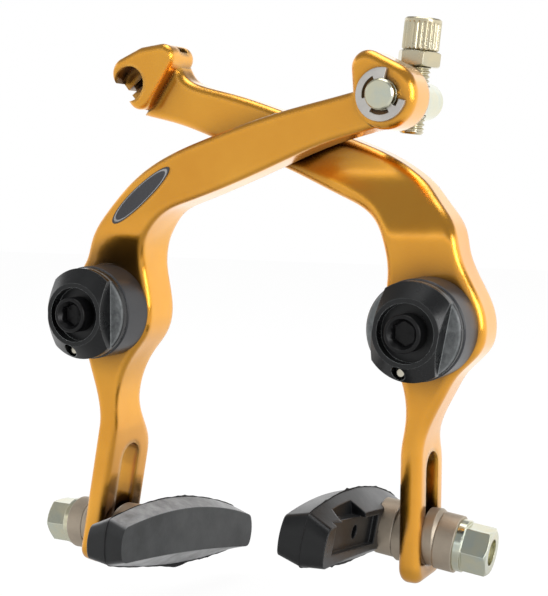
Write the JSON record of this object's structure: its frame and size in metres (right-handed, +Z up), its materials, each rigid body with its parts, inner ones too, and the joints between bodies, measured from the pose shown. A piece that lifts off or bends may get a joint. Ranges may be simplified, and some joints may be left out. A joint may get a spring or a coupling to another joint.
{
  "type": "u brake",
  "caption": "Centre-pull bicycle brake: crossing gold arms turn on frame posts against coil springs and press rubber shoes, set in slotted legs, on the rim",
  "frame": {"origin": "midway between the two pivot axes, on the plane of the rear arm's seat for its spring cover", "axes": "+X from the front arm's pivot to the rear arm's, +Y away from the viewer towards the frame, +Z up towards the cable"},
  "size_m": [0.1207, 0.0795, 0.1399],
  "materials": {
    "gold_arms": "orange-gold anodised, polished",
    "black_caps": "black, satin, bright turned edges",
    "covers": "charcoal, satin",
    "black_bolts": "black oxide",
    "spring_steel": "bright drawn wire",
    "bushes": "plain turned",
    "zinc_pin": "pale yellow-green zinc",
    "clip_steel": "matte pressed steel",
    "barrel_steel": "warm bright plating",
    "washers": "warm grey, matte",
    "pad_rubber": "matte dark grey moulded rubber",
    "plate": "dark grey, bare"
  },
  "bodies": {
    "posts": {"left_pivot_bolt": "black_bolts", "left_spring_adjuster": "black_caps", "right_pivot_bolt": "black_bolts", "right_spring_adjuster": "black_caps"},
    "front_arm": {"front_arm": "gold_arms", "oval_plate": "plate", "left_pivot_bush": "bushes", "left_spring_cover": "covers", "left_return_spring": "spring_steel"},
    "rear_arm": {"rear_arm": "gold_arms", "right_pivot_bush": "bushes", "right_spring_cover": "covers", "right_return_spring": "spring_steel"},
    "anchor": {"anchor_pin": "zinc_pin", "e_clip": "clip_steel"},
    "barrel": {"barrel_adjuster": "barrel_steel"},
    "lock_nut": {"lock_nut": "barrel_steel"},
    "left_carrier": {"left_inner_domed_washer": "washers", "left_outer_domed_washer": "washers"},
    "left_shoe": {"left_shoe_pad": "pad_rubber", "left_shoe_stud": "zinc_pin", "left_inner_dished_washer": "washers", "left_outer_dished_washer": "washers", "left_shoe_nut": "zinc_pin"},
    "right_carrier": {"right_inner_domed_washer": "washers", "right_outer_domed_washer": "washers"},
    "right_shoe": {"right_shoe_pad": "pad_rubber", "right_shoe_stud": "zinc_pin", "right_inner_dished_washer": "washers", "right_outer_dished_washer": "washers", "right_shoe_nut": "zinc_pin"}
  },
  "joints": [
    {"name": "front_arm_pivot", "type": "hinge", "parent": "posts", "child": "front_arm", "pos_m": [-0.042, 0, 0], "axis": [0, -1, 0], "range_deg": [-4, 7], "stiffness_Nm_per_rad": 0.6, "deforming": ["left_return_spring"]},
    {"name": "left_shoe_height", "type": "slide", "parent": "front_arm", "child": "left_carrier", "axis": [0.1736, 0, 0.9848], "range_m": [-0.0004, 0.018]},
    {"name": "left_shoe_turn", "type": "hinge", "parent": "left_carrier", "child": "left_shoe", "pos_m": [-0.04779, 0.0084, -0.05757], "axis": [-0.9975, 0.0698, -0.0105], "range_deg": [-15, 15]},
    {"name": "rear_arm_pivot", "type": "hinge", "parent": "posts", "child": "rear_arm", "pos_m": [0.042, 0, 0], "axis": [0, 1, 0], "range_deg": [-8, 6], "stiffness_Nm_per_rad": 0.6, "deforming": ["right_return_spring"]},
    {"name": "right_shoe_height", "type": "slide", "parent": "rear_arm", "child": "right_carrier", "axis": [0, 0, 1], "range_m": [-0.002, 0.012]},
    {"name": "right_shoe_turn", "type": "hinge", "parent": "right_carrier", "child": "right_shoe", "pos_m": [0.0377, 0.0084, -0.0493], "axis": [0.9907, 0.0311, -0.1323], "range_deg": [-15, 15]},
    {"name": "anchor_turn", "type": "hinge", "parent": "front_arm", "child": "anchor", "pos_m": [0.0328, 0, 0.051], "axis": [0, 1, 0], "range_deg": [-60, 80]},
    {"name": "barrel_turn", "type": "hinge", "parent": "anchor", "child": "barrel", "pos_m": [0.0328, 0.013, 0.051], "axis": [0.1045, 0, 0.9945], "continuous": true},
    {"name": "lock_nut_turn", "type": "hinge", "parent": "barrel", "child": "lock_nut", "pos_m": [0.0328, 0.013, 0.051], "axis": [0.1045, 0, 0.9945], "continuous": true}
  ]
}
